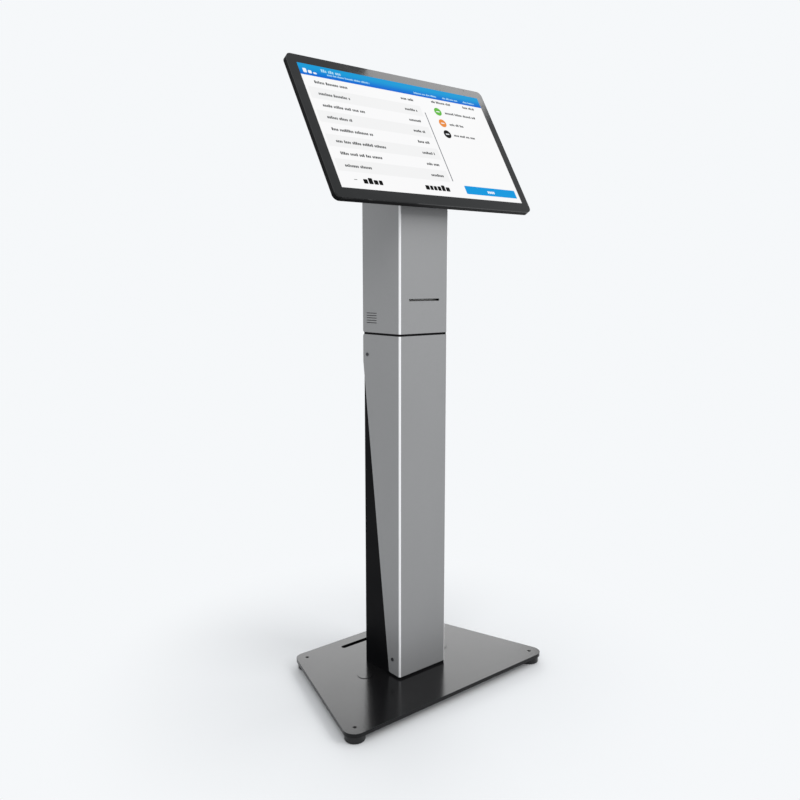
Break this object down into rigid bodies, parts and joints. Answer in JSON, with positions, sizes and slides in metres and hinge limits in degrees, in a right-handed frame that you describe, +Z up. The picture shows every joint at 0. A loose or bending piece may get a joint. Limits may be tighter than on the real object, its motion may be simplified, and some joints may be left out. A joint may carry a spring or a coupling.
{
  "type": "self checkout kiosk",
  "caption": "Free-standing self checkout kiosk: trapezoid base on levelling feet, slim two-part column with receipt printer, and a tilting touch monitor.",
  "frame": {"origin": "centre of the base plate, on the floor", "axes": "+Z up, -Y towards the customer (front), +X to the customer's right"},
  "size_m": [0.5494, 0.35, 1.2891],
  "materials": {
    "base_paint": "satin black powder coat",
    "black_plastic": "moulded",
    "zinc_steel": "zinc plated",
    "frame_paint": "satin black powder coat",
    "silver_paint": "satin metallic silver",
    "dark_steel": "black oxide",
    "brass_pin": "nickel brass",
    "psu_metal": "plain sheet",
    "printer_plastic": "moulded",
    "head_ceramic": "polished strip",
    "soft_rubber": "ground",
    "receipt_paper": "thermal paper",
    "core_card": "wound tube",
    "button_plastic": "gloss",
    "lock_chrome": "polished",
    "washer_plastic": "natural nylon",
    "cover_glass": "black-bordered cover glass",
    "monitor_paint": "fine matt black",
    "display": "lit display",
    "circuit_board": "solder mask",
    "sink_aluminium": "extruded",
    "port_steel": "nickel plated"
  },
  "bodies": {
    "stand": {"base_plate": "base_paint", "anchor_plugs": "base_paint", "foot_nuts": "zinc_steel", "base_flange": "frame_paint", "flange_bolts": "zinc_steel", "column_frame": "frame_paint", "lower_cover": "silver_paint", "upper_cover": "silver_paint", "cover_screws": "dark_steel", "rear_panel": "frame_paint", "rear_panel_screws": "dark_steel", "inlet_body": "black_plastic", "inlet_pins": "brass_pin", "psu_bracket": "zinc_steel", "psu_case": "psu_metal", "printer_shelf": "frame_paint", "printer_body": "printer_plastic", "print_head": "head_ceramic", "receipt_bezel": "black_plastic", "lid_hinge_pin": "zinc_steel", "sounder": "black_plastic", "hinge_brackets": "frame_paint", "hinge_pins": "zinc_steel", "column_cap": "frame_paint", "cap_grommet": "soft_rubber", "tilt_yoke": "frame_paint", "yoke_bolts": "zinc_steel", "tilt_bolts": "zinc_steel", "tilt_nuts": "zinc_steel", "friction_washers": "washer_plastic"},
    "foot_front_left": {"foot_front_left": "black_plastic"},
    "foot_front_right": {"foot_front_right": "black_plastic"},
    "foot_rear_left": {"foot_rear_left": "black_plastic"},
    "foot_rear_right": {"foot_rear_right": "black_plastic"},
    "rocker": {"power_rocker": "black_plastic"},
    "lid": {"printer_lid": "printer_plastic"},
    "platen": {"platen_rubber": "soft_rubber", "platen_shaft": "zinc_steel"},
    "paper": {"paper_roll": "receipt_paper", "paper_core": "core_card"},
    "feed_key": {"feed_button": "button_plastic"},
    "door": {"rear_door": "frame_paint", "lock_body": "lock_chrome", "lock_nut": "zinc_steel"},
    "lock": {"lock_plug": "lock_chrome", "lock_cam": "zinc_steel"},
    "monitor": {"touch_glass": "cover_glass", "front_frame": "monitor_paint", "lcd_panel": "display", "panel_tray": "monitor_paint", "electronics_cover": "monitor_paint", "housing_screws": "dark_steel", "mainboard": "circuit_board", "heat_sink": "sink_aluminium", "io_ports": "port_steel", "speakers": "black_plastic", "tilt_bracket": "frame_paint", "vesa_screws": "zinc_steel"},
    "power_key": {"power_button": "button_plastic"}
  },
  "joints": [
    {"name": "foot_front_left_screw", "type": "slide", "parent": "stand", "child": "foot_front_left", "axis": [0, 0, -1], "range_m": [0, 0.008]},
    {"name": "foot_front_right_screw", "type": "slide", "parent": "stand", "child": "foot_front_right", "axis": [0, 0, -1], "range_m": [0, 0.008]},
    {"name": "foot_rear_left_screw", "type": "slide", "parent": "stand", "child": "foot_rear_left", "axis": [0, 0, -1], "range_m": [0, 0.008]},
    {"name": "foot_rear_right_screw", "type": "slide", "parent": "stand", "child": "foot_rear_right", "axis": [0, 0, -1], "range_m": [0, 0.008]},
    {"name": "rocker_switch", "type": "hinge", "parent": "stand", "child": "rocker", "pos_m": [0, 0.054, 0.116], "axis": [1, 0, 0], "range_deg": [-16, 0]},
    {"name": "lid_hinge", "type": "hinge", "parent": "stand", "child": "lid", "pos_m": [0, 0.038, 0.838], "axis": [-1, 0, 0], "range_deg": [0, 80]},
    {"name": "platen_turn", "type": "hinge", "parent": "lid", "child": "platen", "pos_m": [0, -0.048, 0.838], "axis": [1, 0, 0], "continuous": true},
    {"name": "paper_turn", "type": "hinge", "parent": "stand", "child": "paper", "pos_m": [0, -0.002, 0.798], "axis": [1, 0, 0], "continuous": true},
    {"name": "feed_press", "type": "slide", "parent": "stand", "child": "feed_key", "axis": [0, -1, 0], "range_m": [0, 0.0015], "stiffness_N_per_m": 800, "springref_m": -0.001},
    {"name": "door_hinge", "type": "hinge", "parent": "stand", "child": "door", "pos_m": [-0.05895, 0.0602, 0.9], "axis": [0, 0, 1], "range_deg": [0, 110]},
    {"name": "lock_turn", "type": "hinge", "parent": "door", "child": "lock", "pos_m": [0.036, 0.055, 0.975], "axis": [0, 1, 0], "range_deg": [0, 90]},
    {"name": "monitor_tilt", "type": "hinge", "parent": "stand", "child": "monitor", "pos_m": [0, 0.01615, 1.09528], "axis": [-1, 0, 0], "range_deg": [-8, 30]},
    {"name": "power_press", "type": "slide", "parent": "monitor", "child": "power_key", "axis": [-1, 0, 0], "range_m": [0, 0.0015], "stiffness_N_per_m": 800, "springref_m": -0.001}
  ],
  "couplings": [
    {"joint": "platen_turn", "follows": "paper_turn", "ratio": -5.4286}
  ]
}
